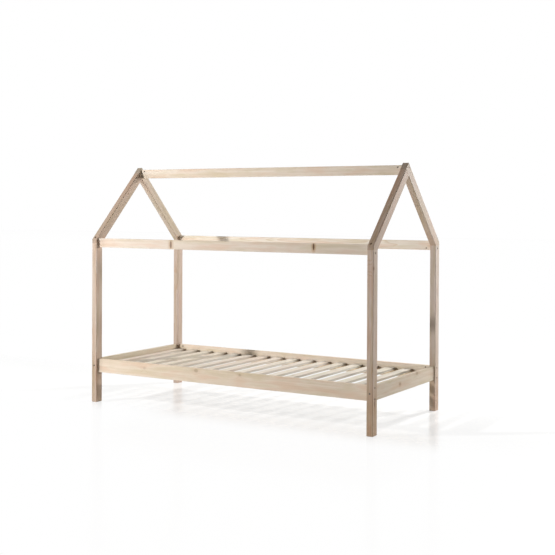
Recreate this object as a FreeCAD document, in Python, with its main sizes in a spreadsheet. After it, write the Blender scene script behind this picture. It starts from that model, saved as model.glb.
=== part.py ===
"""House frame bed for a child: a slatted single bed whose four posts carry an open pitched roof.

Frame of the model: +X along the length of the bed, +Y from front to back, +Z up, with the origin on
the floor at the middle of the bed.  Every length is in millimetres.  Every driving dimension is a
cell of the sheet "Sizes", and the rest follows from those cells.
"""
import FreeCAD
import Part
import Sketcher
import os
from math import cos, radians, sin
from FreeCAD import Placement, Rotation, Vector

DIMENSIONS = (
    # frame
    ("overall_length", 2080, "over the outer faces of the posts"),
    ("overall_width", 986, "over the outer faces of the posts"),
    ("post_width", 40, "section of posts and rafters along the bed"),
    ("post_depth", 58, "section of a post across the bed"),
    ("post_height", 1068, "floor to the flat cut that carries a rafter"),
    ("rafter_depth", 58, "section of a rafter, square to its slope"),
    ("roof_pitch", 45, "slope of the rafters, in degrees"),
    ("timber_round", 3, "radius on the long edges of posts and rafters"),
    ("foot_chamfer", 2, "bevel round the underside of a post"),
    # boards
    ("board_thickness", 22, "ridge board, eave rails, side rails and end rails"),
    ("board_round", 2, "radius on the long edges of boards, battens and slats"),
    ("bed_rail_height", 90, "side rails and end rails"),
    ("bed_rail_clearance", 200, "floor to the underside of the bed rails"),
    ("eave_rail_height", 60, "rails that tie the posts at the eaves"),
    ("ridge_height", 60, "ridge board"),
    ("ridge_drop", 14, "apex of the rafters to the top of the ridge board"),
    # bed base
    ("slat_count", 17, "slats across the bed"),
    ("slat_width", 60, "each slat, along the bed"),
    ("slat_thickness", 15, "each slat"),
    ("slat_drop", 31, "top of the bed rails to the top of the slats"),
    ("slat_end_gap", 3, "end of a slat to the side rail"),
    ("slat_post_gap", 2, "first and last slat to the posts"),
    ("ledger_thickness", 28, "batten on the inner face of a side rail"),
    ("ledger_height", 28, "batten on the inner face of a side rail"),
    ("ledger_post_gap", 5, "end of a batten to the post"),
    # connector bolts and their barrel nuts
    ("bolt_diameter", 6, "shank of a connector bolt"),
    ("bolt_bore", 6.6, "clearance bore for a connector bolt"),
    ("bolt_head_diameter", 10, "socket head"),
    ("bolt_head_height", 6, "socket head"),
    ("socket_width", 5, "hexagon socket, across its flats"),
    ("socket_depth", 3, "hexagon socket"),
    ("counterbore_diameter", 12, "recess for the head of a bolt or frame screw"),
    ("counterbore_depth", 8, "recess for the head of a bolt or frame screw"),
    ("nut_diameter", 10, "barrel nut"),
    ("nut_length", 14, "barrel nut"),
    ("nut_slot_width", 1.5, "screwdriver slot in a barrel nut"),
    ("nut_slot_depth", 2, "screwdriver slot in a barrel nut"),
    ("nut_setback", 34, "end of a rail to the axis of its barrel nut"),
    ("ridge_nut_setback", 29, "end of the ridge board to the axis of its barrel nut"),
    ("bolt_past_nut", 8, "axis of the barrel nut to the tip of the bolt"),
    ("bore_past_tip", 4, "tip of the bolt to the bottom of its bore"),
    ("bed_bolt_spacing", 64, "the two bolts at each end of a side rail"),
    ("eave_bolt_spacing", 36, "the bolt in the post and the dowel in the rafter foot above it"),
    ("ridge_bolt_drop", 12, "top of the ridge board to its bolt"),
    # dowels
    ("dowel_diameter", 8, "beech dowel"),
    ("dowel_length", 36, "beech dowel, half in each piece"),
    ("dowel_chamfer", 1, "bevel on the ends of a dowel"),
    ("end_dowel_spacing", 50, "the two dowels at each end of an end rail"),
    ("ridge_dowel_rise", 14, "underside of the ridge board to its dowel"),
    ("foot_dowel_inset", 45, "outer face of a rafter foot to its dowel"),
    # screws
    ("frame_screw_diameter", 6, "screws through the rafters"),
    ("frame_screw_head", 11, "diameter of their flat heads"),
    ("frame_screw_head_height", 5, "their flat heads"),
    ("foot_screw_length", 100, "rafter foot to post, under the head"),
    ("foot_screw_inset", 13, "outer face of a rafter foot to its screw"),
    ("apex_screw_length", 120, "rafter to rafter, under the head"),
    ("apex_screw_spacing", 18, "the two screws side by side at an apex"),
    ("base_screw_diameter", 4, "countersunk screws of the bed base"),
    ("base_screw_head", 8, "diameter of their heads"),
    ("base_screw_sink", 3, "depth of their heads"),
    ("slat_screw_length", 35, "slat to batten, over all"),
    ("ledger_screw_length", 45, "batten to side rail, over all"),
    ("ledger_screw_count", 6, "screws along one batten"),
    ("screw_point", 5, "tapered end of a screw"),
)
BREAKOUT = 1.0  # how far a slanted recess is cut past the surface that it breaks

X, Y, Z = Vector(1, 0, 0), Vector(0, 1, 0), Vector(0, 0, 1)

doc = FreeCAD.newDocument("house_frame_bed")
sheet = doc.addObject("Spreadsheet::Sheet", "Sizes")
for row, (alias, number, note) in enumerate(DIMENSIONS, start=1):
    sheet.set(f"A{row}", alias)
    sheet.set(f"B{row}", str(number))
    sheet.set(f"C{row}", note)
    sheet.setAlias(f"B{row}", alias)
doc.recompute()


def cell(alias):
    """Expression that reads one driving dimension."""
    return f"Sizes.{alias}"


def value(expression):
    """Number that an expression over the sheet gives."""
    result = sheet.evalExpression(str(expression))
    return float(getattr(result, "Value", result))


# --- Places that several pieces share ----------------------------------------------------------------

LENGTH, WIDTH = cell("overall_length"), cell("overall_width")
POST_W, POST_D, SEAM = cell("post_width"), cell("post_depth"), cell("post_height")
BOARD, DEPTH, PITCH = cell("board_thickness"), cell("rafter_depth"), cell("roof_pitch")
LEDGER_T, LEDGER_H = cell("ledger_thickness"), cell("ledger_height")

RAIL_LENGTH = f"({LENGTH} - 2 * {POST_W})"
END_RAIL_LENGTH = f"({WIDTH} - 2 * {POST_D})"
SIDE_RECESS = f"(({POST_D} - {BOARD}) / 2)"
END_RECESS = f"(({POST_W} - {BOARD}) / 2)"

BED_RAIL_BASE, BED_RAIL_H = cell("bed_rail_clearance"), cell("bed_rail_height")
BED_RAIL_MIDDLE = f"({BED_RAIL_BASE} + {BED_RAIL_H} / 2)"
SLAT_TOP = f"({BED_RAIL_BASE} + {BED_RAIL_H} - {cell('slat_drop')})"
LEDGER_TOP = f"({SLAT_TOP} - {cell('slat_thickness')})"
LEDGER_BASE = f"({LEDGER_TOP} - {LEDGER_H})"
LEDGER_LENGTH = f"({RAIL_LENGTH} - 2 * {cell('ledger_post_gap')})"
SLAT_LENGTH = f"({WIDTH} - 2 * ({SIDE_RECESS} + {BOARD} + {cell('slat_end_gap')}))"
SLAT_START = f"({cell('slat_post_gap')} + {cell('slat_width')} / 2)"
SLAT_PITCH = f"(({RAIL_LENGTH} - 2 * {SLAT_START}) / ({cell('slat_count')} - 1))"

EAVE_H = cell("eave_rail_height")
EAVE_RAIL_BASE = f"({SEAM} - {EAVE_H} / 2)"
HALF_EAVE_SPACING = f"({cell('eave_bolt_spacing')} / 2)"

# The rafters are measured up from the seam on the posts and inwards from their outer face.
KNEE = f"({DEPTH} / cos({PITCH}) - {POST_D} * tan({PITCH}))"
APEX = f"({KNEE} + {WIDTH} / 2 * tan({PITCH}))"
LAP_RUN = f"({DEPTH} / (2 * sin({PITCH})))"
LAP_DROP = f"({DEPTH} / (2 * cos({PITCH})))"
LAP_THROUGH = f"({DEPTH} / sin(2 * {PITCH}))"

RIDGE_TOP = f"({SEAM} + {APEX} - {cell('ridge_drop')})"
RIDGE_BASE = f"({RIDGE_TOP} - {cell('ridge_height')})"
RIDGE_BOLT = f"({RIDGE_TOP} - {cell('ridge_bolt_drop')})"
RIDGE_DOWEL = f"({RIDGE_BASE} + {cell('ridge_dowel_rise')})"

RECESS_D, RECESS_DEEP = cell("counterbore_diameter"), cell("counterbore_depth")
BOLT_BORE, FRAME_SCREW = cell("bolt_bore"), cell("frame_screw_diameter")
DOWEL, HALF_DOWEL = cell("dowel_diameter"), f"({cell('dowel_length')} / 2)"
SCREW_OUT = f"({cell('apex_screw_spacing')} / 2)"

roof_angle = radians(value(PITCH))
UP_SLOPE = Vector(0, cos(roof_angle), sin(roof_angle))
DOWN_FAR_SLOPE = Vector(0, cos(roof_angle), -sin(roof_angle))

subparts = []


# --- Building blocks ---------------------------------------------------------------------------------

def bind_place(item, at):
    """Tie the place of an object to the sheet, one expression for each coordinate."""
    for axis, expression in zip("xyz", at):
        item.setExpression(f"Placement.Base.{axis}", str(expression))


def new_body(label, at=(0, 0, 0), yaw=0):
    """Empty body with its corner at a place and its length turned about Z."""
    body = doc.addObject("PartDesign::Body", label)
    body.Label = label
    body.Placement = Placement(Vector(), Rotation(Z, yaw))
    bind_place(body, at)
    return body


def timber(label, at, yaw, length, width, height):
    """Body with one square-edged block, which starts at the body's corner."""
    body = new_body(label, at, yaw)
    block = body.newObject("PartDesign::AdditiveBox", label + "_block")
    for side, expression in (("Length", length), ("Width", width), ("Height", height)):
        block.setExpression(side, expression)
    doc.recompute()
    subparts.append(body)
    return body


def outlined(label, at, yaw, corners, thickness):
    """Body with one flat piece whose outline, pairs of expressions, stands in its YZ plane."""
    body = new_body(label, at, yaw)
    sketch = body.newObject("Sketcher::SketchObject", label + "_outline")
    plane = next(item for item in body.Origin.OriginFeatures if item.Role == "YZ_Plane")
    sketch.AttachmentSupport = [(plane, "")]
    sketch.MapMode = "FlatFace"
    points = [Vector(value(across), value(up), 0) for across, up in corners]
    following = points[1:] + points[:1]
    for start, end in zip(points, following):
        sketch.addGeometry(Part.LineSegment(start, end), False)
    for line, (across, up) in enumerate(corners):
        next_line = (line + 1) % len(corners)
        sketch.addConstraint(Sketcher.Constraint("Coincident", line, 2, next_line, 1))
        for kind, expression in (("DistanceX", across), ("DistanceY", up)):
            number = value(expression)
            place = sketch.addConstraint(Sketcher.Constraint(kind, -1, 1, line, 1, number))
            sketch.setExpression(f"Constraints[{place}]", str(expression))
    pad = body.newObject("PartDesign::Pad", label + "_pad")
    pad.Profile = sketch
    pad.setExpression("Length", thickness)
    doc.recompute()
    subparts.append(body)
    return body


def runs_along(*directions):
    """Test for straight edges along any of some directions."""
    def test(edge):
        run = edge.Vertexes[-1].Point - edge.Vertexes[0].Point
        return run.Length > 0 and any(run.cross(way).Length < 1e-6 for way in directions)
    return test


def on_the_floor(edge):
    """Test for edges at the bottom of their body."""
    return edge.BoundBox.ZMax < 1e-6


def dress(body, kind, size_name, size, wanted):
    """Fillet or chamfer on the edges of the newest feature that a test picks."""
    newest = body.Tip
    names = [f"Edge{i}" for i, edge in enumerate(newest.Shape.Edges, start=1) if wanted(edge)]
    dressing = body.newObject(f"PartDesign::{kind}", f"{body.Label}_{kind.lower()}")
    dressing.Base = (newest, names)
    dressing.setExpression(size_name, size)
    doc.recompute()


def drill(body, at, direction, diameter, depth, kind="bore"):
    """Round hole from a place, along a direction."""
    hole = body.newObject("PartDesign::SubtractiveCylinder", f"{body.Label}_{kind}")
    hole.setExpression("Radius", f"{diameter} / 2")
    hole.setExpression("Height", str(depth))
    hole.Placement = Placement(Vector(), Rotation(Z, direction))
    bind_place(hole, at)


def drill_for_head(body, at, direction, diameter, through):
    """Hole right through a piece, with a recess for the head where it enters."""
    drill(body, at, direction, RECESS_D, RECESS_DEEP, "recess")
    drill(body, at, direction, diameter, through)


def countersink(body, at, direction, depth):
    """Hole that a countersunk wood screw fills."""
    drill(body, at, direction, cell("base_screw_diameter"), depth, "screw_hole")
    sink = body.newObject("PartDesign::SubtractiveCone", body.Label + "_sink")
    sink.setExpression("Radius1", f"{cell('base_screw_head')} / 2")
    sink.setExpression("Radius2", f"{cell('base_screw_diameter')} / 2")
    sink.setExpression("Height", cell("base_screw_sink"))
    sink.Placement = Placement(Vector(), Rotation(Z, direction))
    bind_place(sink, at)


def turned(label, stages, start="0"):
    """Body turned about Z from stages, each a diameter at both of its ends and a length."""
    body = new_body(label)
    level = start
    for near, far, length in stages:
        if near == far:
            stage = body.newObject("PartDesign::AdditiveCylinder", label + "_stage")
            stage.setExpression("Radius", f"{near} / 2")
        else:
            stage = body.newObject("PartDesign::AdditiveCone", label + "_taper")
            stage.setExpression("Radius1", f"{near} / 2")
            stage.setExpression("Radius2", f"{far} / 2")
        stage.setExpression("Height", length)
        bind_place(stage, (0, 0, level))
        level = f"({level} + {length})"
    doc.recompute()
    return body


def group(label, pattern, places):
    """One node of like fasteners: copies of a pattern, each with a place and a rotation."""
    copies = []
    for at, rotation in places:
        copy = doc.addObject("App::Link", label + "_copy")
        copy.LinkedObject = pattern
        copy.Placement = Placement(Vector(), rotation)
        bind_place(copy, at)
        copies.append(copy)
    node = doc.addObject("Part::Compound", label)
    node.Label = label
    node.Links = copies
    subparts.append(node)


# --- The four corners --------------------------------------------------------------------------------

class Corner:
    """One corner of the bed.  Its post and its rafter share a frame that runs in from the outside."""

    def __init__(self, name, side_x, side_y):
        self.name, self.side_x, self.side_y = name, side_x, side_y
        self.yaw = 0 if side_y < 0 else 180
        low_end_is_outside = side_x == side_y
        reach = f"{LENGTH} / 2" if low_end_is_outside else f"({LENGTH} / 2 - {POST_W})"
        self.base_x = f"{side_x} * {reach}"
        self.base_y = f"{side_y} * {WIDTH} / 2"
        self.outer_end, self.inner_end = ("0", POST_W) if low_end_is_outside else (POST_W, "0")
        self.inwards = X if low_end_is_outside else -X

    def from_outside(self, along=f"{POST_W} / 2", across=f"{POST_D} / 2"):
        """Place of a fastener in the bed's frame, given how far it stands in from the outer faces."""
        return (f"{self.side_x} * ({LENGTH} / 2 - {along})", f"{self.side_y} * ({WIDTH} / 2 - {across})")


CORNERS = (
    Corner("front_left", -1, -1),
    Corner("front_right", 1, -1),
    Corner("back_left", -1, 1),
    Corner("back_right", 1, 1),
)
BED_BOLT_LEVELS = [f"({BED_RAIL_MIDDLE} {sign} {cell('bed_bolt_spacing')} / 2)" for sign in "-+"]
EAVE_BOLT, EAVE_DOWEL = (f"({SEAM} {sign} {HALF_EAVE_SPACING})" for sign in "-+")
END_DOWEL_LEVELS = [f"({BED_RAIL_MIDDLE} {sign} {cell('end_dowel_spacing')} / 2)" for sign in "-+"]


# --- Posts and rafters -------------------------------------------------------------------------------

def make_post(corner):
    """Post with a flat top, drilled for the rails of both directions and for its rafter."""
    at = (corner.base_x, corner.base_y, "0")
    post = timber(f"post_{corner.name}", at, corner.yaw, POST_W, POST_D, SEAM)
    dress(post, "Fillet", "Radius", cell("timber_round"), runs_along(Z))
    dress(post, "Chamfer", "Size", cell("foot_chamfer"), on_the_floor)
    for level in (*BED_BOLT_LEVELS, EAVE_BOLT):
        place = (corner.outer_end, f"{POST_D} / 2", level)
        drill_for_head(post, place, corner.inwards, BOLT_BORE, POST_W)
    middle = f"{POST_W} / 2"
    drill_for_head(post, (middle, "0", BED_RAIL_MIDDLE), Y, BOLT_BORE, POST_D)
    for level in END_DOWEL_LEVELS:
        drill(post, (middle, POST_D, level), -Y, DOWEL, HALF_DOWEL, "dowel_hole")
    drill(post, (middle, cell("foot_dowel_inset"), SEAM), -Z, DOWEL, HALF_DOWEL, "dowel_hole")
    screw_depth = f"({cell('foot_screw_length')} - {KNEE})"
    drill(post, (middle, cell("foot_screw_inset"), SEAM), -Z, FRAME_SCREW, screw_depth, "screw_hole")


def make_rafter(corner, runs_through):
    """Rafter: a level seat, a short plumb face, the slope, and its half of the lap at the apex."""
    half = f"{WIDTH} / 2"
    if runs_through:
        top = [(half, APEX), (f"{half} + {LAP_RUN}", f"{APEX} - {LAP_DROP}")]
    else:
        top = [(f"{half} - {LAP_RUN}", f"{APEX} - {LAP_DROP}"), (half, f"{APEX} - 2 * {LAP_DROP}")]
    corners = [("0", "0"), ("0", KNEE), *top, (POST_D, "0")]
    side, end = corner.name.split("_")
    at = (corner.base_x, corner.base_y, SEAM)
    rafter = outlined(f"rafter_{end}_{side}", at, corner.yaw, corners, POST_W)
    dress(rafter, "Fillet", "Radius", cell("timber_round"), runs_along(Z, UP_SLOPE))
    middle = f"{POST_W} / 2"
    place = (corner.inner_end, f"{POST_D} / 2", HALF_EAVE_SPACING)
    drill(rafter, place, -corner.inwards, DOWEL, HALF_DOWEL, "dowel_hole")
    drill(rafter, (middle, cell("foot_dowel_inset"), "0"), Z, DOWEL, HALF_DOWEL, "dowel_hole")
    place = (middle, cell("foot_screw_inset"), KNEE)
    open_up = f"({cell('foot_screw_inset')} + {RECESS_D} / 2) * tan({PITCH}) + {BREAKOUT}"
    drill(rafter, place, Z, RECESS_D, open_up, "recess")
    drill(rafter, place, -Z, FRAME_SCREW, KNEE, "screw_hole")
    if runs_through:
        drill_through_apex(rafter, corner, middle)
    else:
        drill_into_apex(rafter, middle)


def drill_through_apex(rafter, corner, middle):
    """Holes in the rafter that passes over the other: for the ridge board, and for the lap."""
    half = f"{WIDTH} / 2"
    place = (corner.outer_end, half, f"{RIDGE_BOLT} - {SEAM}")
    drill_for_head(rafter, place, corner.inwards, BOLT_BORE, POST_W)
    place = (corner.inner_end, half, f"{RIDGE_DOWEL} - {SEAM}")
    drill(rafter, place, -corner.inwards, DOWEL, HALF_DOWEL, "dowel_hole")
    for sign in "-+":
        place = (f"{middle} {sign} {SCREW_OUT}", f"{half} - {LAP_RUN} / 2", f"{APEX} - {LAP_DROP} / 2")
        drill_for_head(rafter, place, DOWN_FAR_SLOPE, FRAME_SCREW, LAP_THROUGH)
    place = (middle, f"{half} + {LAP_RUN} / 2", f"{APEX} - 3 * {LAP_DROP} / 2")
    drill(rafter, place, -DOWN_FAR_SLOPE, DOWEL, HALF_DOWEL, "dowel_hole")


def drill_into_apex(rafter, middle):
    """Holes in the end grain of the rafter that butts under the other."""
    depth = f"{cell('apex_screw_length')} + {RECESS_DEEP} - {LAP_THROUGH}"
    level = f"{APEX} - 3 * {LAP_DROP} / 2"
    inset = f"{WIDTH} / 2 - {LAP_RUN} / 2"
    for sign in "-+":
        place = (f"{middle} {sign} {SCREW_OUT}", inset, level)
        drill(rafter, place, -UP_SLOPE, FRAME_SCREW, depth, "screw_hole")
    drill(rafter, (middle, inset, level), -UP_SLOPE, DOWEL, HALF_DOWEL, "dowel_hole")


for corner in CORNERS:
    make_post(corner)
    make_rafter(corner, runs_through=corner.side_y > 0)


# --- Boards between the posts and between the gables -------------------------------------------------

def bolt_the_ends(board, length, levels, setback, nut_face):
    """Bores for connector bolts in both ends of a board, and for barrel nuts from one face."""
    nut_side, nut_way = ("0", Y) if nut_face < 0 else (BOARD, -Y)
    bolt_depth = f"{setback} + {cell('bolt_past_nut')} + {cell('bore_past_tip')}"
    nut_depth = f"({BOARD} + {cell('nut_length')}) / 2"
    for end, way, nut_x in (("0", X, setback), (length, -X, f"({length} - {setback})")):
        for level in levels:
            drill(board, (end, f"{BOARD} / 2", level), way, BOLT_BORE, bolt_depth)
            drill(board, (nut_x, nut_side, level), nut_way, cell("nut_diameter"), nut_depth, "nut_hole")


def dowel_the_ends(board, length, levels):
    """Dowel holes in both ends of a board."""
    for end, way in (("0", X), (length, -X)):
        for level in levels:
            drill(board, (end, f"{BOARD} / 2", level), way, DOWEL, HALF_DOWEL, "dowel_hole")


def make_long_board(label, side_y, base, height, levels, setback):
    """Board along the bed: between two posts, or at the middle between the gables."""
    if side_y:
        face = f"{side_y} * ({WIDTH} / 2 - {SIDE_RECESS}) - {(1 + side_y) // 2} * {BOARD}"
    else:
        face = f"-{BOARD} / 2"
    board = timber(label, (f"-{RAIL_LENGTH} / 2", face, base), 0, RAIL_LENGTH, BOARD, height)
    dress(board, "Fillet", "Radius", cell("board_round"), runs_along(X))
    nut_face = -1 if side_y >= 0 else 1
    local_levels = [f"({level} - {base})" for level in levels]
    bolt_the_ends(board, RAIL_LENGTH, local_levels, setback, nut_face)
    return board


def make_end_rail(label, side_x):
    """Board across the head or the foot of the bed."""
    face = f"{side_x} * ({LENGTH} / 2 - {END_RECESS}) + {(1 - side_x) // 2} * {BOARD}"
    place = (face, f"-{END_RAIL_LENGTH} / 2", BED_RAIL_BASE)
    rail = timber(label, place, 90, END_RAIL_LENGTH, BOARD, BED_RAIL_H)
    dress(rail, "Fillet", "Radius", cell("board_round"), runs_along(X))
    middle = f"{BED_RAIL_H} / 2"
    bolt_the_ends(rail, END_RAIL_LENGTH, [middle], cell("nut_setback"), side_x)
    dowel_the_ends(rail, END_RAIL_LENGTH, [f"({level} - {BED_RAIL_BASE})" for level in END_DOWEL_LEVELS])


SETBACK = cell("nut_setback")
side_rails = {}
for side_name, side_y in (("front", -1), ("back", 1)):
    side_rails[side_y] = make_long_board(
        f"side_rail_{side_name}", side_y, BED_RAIL_BASE, BED_RAIL_H, BED_BOLT_LEVELS, SETBACK)
    eave_rail = make_long_board(
        f"eave_rail_{side_name}", side_y, EAVE_RAIL_BASE, EAVE_H, [EAVE_BOLT], SETBACK)
    dowel_the_ends(eave_rail, RAIL_LENGTH, [f"({EAVE_DOWEL} - {EAVE_RAIL_BASE})"])
for side_name, side_x in (("left", -1), ("right", 1)):
    make_end_rail(f"end_rail_{side_name}", side_x)
RIDGE_SETBACK = cell("ridge_nut_setback")
ridge = make_long_board(
    "ridge_board", 0, RIDGE_BASE, cell("ridge_height"), [RIDGE_BOLT], RIDGE_SETBACK)
dowel_the_ends(ridge, RAIL_LENGTH, [cell("ridge_dowel_rise")])


# --- Bed base ----------------------------------------------------------------------------------------

slat_count = int(value(cell("slat_count")))
ledger_screw_count = int(value(cell("ledger_screw_count")))
SLAT_MIDDLES = [f"({SLAT_START} + {i} * {SLAT_PITCH})" for i in range(slat_count)]
SCREWED_GAPS = [int((i + 0.5) * (slat_count - 1) / ledger_screw_count) for i in range(ledger_screw_count)]
LEDGER_SCREWS = [f"({SLAT_MIDDLES[gap]} + {SLAT_PITCH} / 2)" for gap in SCREWED_GAPS]
LEDGER_FACE = f"({WIDTH} / 2 - {SIDE_RECESS} - {BOARD})"
LEDGER_PLACE = f"({RAIL_LENGTH} / 2 - {cell('ledger_post_gap')})"
SLAT_SCREW_INSET = f"({LEDGER_T} / 2 - {cell('slat_end_gap')})"


def make_ledger(label, side_y):
    """Batten on a side rail, with a screw into each slat's end above and a row into the rail."""
    place = (f"{side_y} * {LEDGER_PLACE}", f"{side_y} * {LEDGER_FACE}", LEDGER_BASE)
    yaw = 0 if side_y < 0 else 180
    ledger = timber(label, place, yaw, LEDGER_LENGTH, LEDGER_T, LEDGER_H)
    dress(ledger, "Fillet", "Radius", cell("board_round"), runs_along(X))
    start = cell("ledger_post_gap")
    hold = f"{cell('slat_screw_length')} - {cell('slat_thickness')}"
    for middle in SLAT_MIDDLES:
        place = (f"{middle} - {start}", f"{LEDGER_T} / 2", LEDGER_H)
        drill(ledger, place, -Z, cell("base_screw_diameter"), hold, "screw_hole")
    for middle in LEDGER_SCREWS:
        countersink(ledger, (f"{middle} - {start}", LEDGER_T, f"{LEDGER_H} / 2"), -Y, LEDGER_T)


def drill_rail_for_ledger(rail, side_y):
    """Pilot holes in the inner face of a side rail."""
    face, way = (BOARD, -Y) if side_y < 0 else ("0", Y)
    level = f"{LEDGER_BASE} + {LEDGER_H} / 2 - {BED_RAIL_BASE}"
    depth = f"{cell('ledger_screw_length')} - {LEDGER_T}"
    for middle in LEDGER_SCREWS:
        along = middle if side_y < 0 else f"{RAIL_LENGTH} - {middle}"
        drill(rail, (along, face, level), way, cell("base_screw_diameter"), depth, "screw_hole")


def make_slat(number, middle):
    """Slat across the bed, screwed down at both ends."""
    width = cell("slat_width")
    place = (f"{middle} - {RAIL_LENGTH} / 2 - {width} / 2", f"-{SLAT_LENGTH} / 2", LEDGER_TOP)
    slat = timber(f"slat_{number:02d}", place, 0, width, SLAT_LENGTH, cell("slat_thickness"))
    dress(slat, "Fillet", "Radius", cell("board_round"), runs_along(Y))
    for inset in (SLAT_SCREW_INSET, f"{SLAT_LENGTH} - {SLAT_SCREW_INSET}"):
        place = (f"{width} / 2", inset, cell("slat_thickness"))
        countersink(slat, place, -Z, cell("slat_thickness"))


for side_name, side_y in (("front", -1), ("back", 1)):
    make_ledger(f"slat_ledger_{side_name}", side_y)
    drill_rail_for_ledger(side_rails[side_y], side_y)
for number, middle in enumerate(SLAT_MIDDLES, start=1):
    make_slat(number, middle)


# --- Fasteners ---------------------------------------------------------------------------------------

def connector_bolt(label, length):
    """Socket-headed bolt: its head stands below the seat at the origin, its shank above."""
    head = cell("bolt_head_height")
    stages = ((cell("bolt_head_diameter"),) * 2 + (head,), (cell("bolt_diameter"),) * 2 + (length,))
    bolt = turned(label, stages, start=f"-{head}")
    socket = bolt.newObject("PartDesign::SubtractivePrism", label + "_socket")
    socket.Polygon = 6
    socket.setExpression("Circumradius", f"{cell('socket_width')} / sqrt(3)")
    socket.setExpression("Height", cell("socket_depth"))
    bind_place(socket, (0, 0, f"-{head}"))
    return bolt


def barrel_nut(label):
    """Round nut across a rail, bored for its bolt along X, with a slot in its upper end."""
    length, across = cell("nut_length"), cell("nut_diameter")
    nut = turned(label, ((across, across, length),), start=f"-{length} / 2")
    drill(nut, (f"-{across}", 0, 0), X, cell("bolt_diameter"), f"2 * {across}")
    slot = nut.newObject("PartDesign::SubtractiveBox", label + "_slot")
    slot.setExpression("Length", f"2 * {across}")
    slot.setExpression("Width", cell("nut_slot_width"))
    slot.setExpression("Height", cell("nut_slot_depth"))
    slot_place = (f"-{across}", f"-{cell('nut_slot_width')} / 2", f"{length} / 2 - {cell('nut_slot_depth')}")
    bind_place(slot, slot_place)
    return nut


def frame_screw(label, length):
    """Long flat-headed screw, its head below the seat at the origin."""
    head, shank = cell("frame_screw_head"), cell("frame_screw_diameter")
    head_height, point = cell("frame_screw_head_height"), cell("screw_point")
    stages = ((head, head, head_height), (shank, shank, f"({length} - {point})"), (shank, "0", point))
    return turned(label, stages, start=f"-{head_height}")


def base_screw(label, length):
    """Countersunk screw whose head is level with the origin."""
    shank, sink, point = cell("base_screw_diameter"), cell("base_screw_sink"), cell("screw_point")
    stages = (
        (cell("base_screw_head"), shank, sink),
        (shank, shank, f"({length} - {sink} - {point})"),
        (shank, "0", point),
    )
    return turned(label, stages)


def dowel_pin(label):
    """Beech dowel about its middle, bevelled at both ends."""
    pin = turned(label, ((DOWEL, DOWEL, cell("dowel_length")),), start=f"-{HALF_DOWEL}")
    dress(pin, "Chamfer", "Size", cell("dowel_chamfer"), lambda edge: edge.Closed)
    return pin


def facing(yaw):
    """Turn that points a barrel nut's slot along +Y and then swings it about Z."""
    return Rotation(Z, yaw) * Rotation(X, -90)


def way(direction):
    """Turn that points an axis along a direction."""
    return Rotation(Z, direction)


through_post = f"{POST_W} - {RECESS_DEEP} + {cell('bolt_past_nut')}"
side_bolt = connector_bolt("side_bolt", f"({through_post} + {SETBACK})")
ridge_bolt = connector_bolt("ridge_bolt", f"({through_post} + {RIDGE_SETBACK})")
end_bolt_length = f"({POST_D} - {RECESS_DEEP} + {SETBACK} + {cell('bolt_past_nut')})"
end_bolt = connector_bolt("end_bolt", end_bolt_length)
nut = barrel_nut("cross_nut")
pin = dowel_pin("pin")
foot_screw = frame_screw("foot_screw", cell("foot_screw_length"))
apex_screw = frame_screw("apex_screw", cell("apex_screw_length"))
slat_screw = base_screw("slat_screw", cell("slat_screw_length"))
ledger_screw = base_screw("ledger_screw", cell("ledger_screw_length"))


def bolts_and_nuts(name, levels):
    """Bolts through the ends of the bed into the boards along it, and their barrel nuts."""
    bolts, nuts = [], []
    for corner in CORNERS:
        bolt_x, bolt_y = corner.from_outside(along=RECESS_DEEP)
        nut_x, nut_y = corner.from_outside(along=f"({POST_W} + {SETBACK})")
        for level in levels:
            bolts.append(((bolt_x, bolt_y, level), way(-corner.side_x * X)))
            nuts.append(((nut_x, nut_y, level), facing(0 if corner.side_y < 0 else 180)))
    group(name + "_bolts", side_bolt, bolts)
    group(name + "_barrel_nuts", nut, nuts)


bolts_and_nuts("side_rail", BED_BOLT_LEVELS)
bolts_and_nuts("eave_rail", [EAVE_BOLT])

end_bolts, end_nuts, end_dowels, foot_screws, foot_dowels, eave_dowels = [], [], [], [], [], []
for corner in CORNERS:
    inwards = -corner.side_y * Y
    bolt_place = corner.from_outside(across=RECESS_DEEP)
    nut_place = corner.from_outside(across=f"({POST_D} + {SETBACK})")
    end_bolts.append(((*bolt_place, BED_RAIL_MIDDLE), way(inwards)))
    end_nuts.append(((*nut_place, BED_RAIL_MIDDLE), facing(90 * corner.side_x)))
    for level in END_DOWEL_LEVELS:
        end_dowels.append(((*corner.from_outside(across=POST_D), level), way(inwards)))
    screw_place = corner.from_outside(across=cell("foot_screw_inset"))
    foot_screws.append(((*screw_place, f"{SEAM} + {KNEE}"), way(-Z)))
    foot_dowels.append(((*corner.from_outside(across=cell("foot_dowel_inset")), SEAM), way(Z)))
    eave_dowels.append(((*corner.from_outside(along=POST_W), EAVE_DOWEL), way(X)))
group("end_rail_bolts", end_bolt, end_bolts)
group("end_rail_barrel_nuts", nut, end_nuts)
group("end_rail_dowels", pin, end_dowels)
group("rafter_foot_screws", foot_screw, foot_screws)
group("rafter_foot_dowels", pin, foot_dowels)
group("eave_rail_dowels", pin, eave_dowels)

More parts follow.
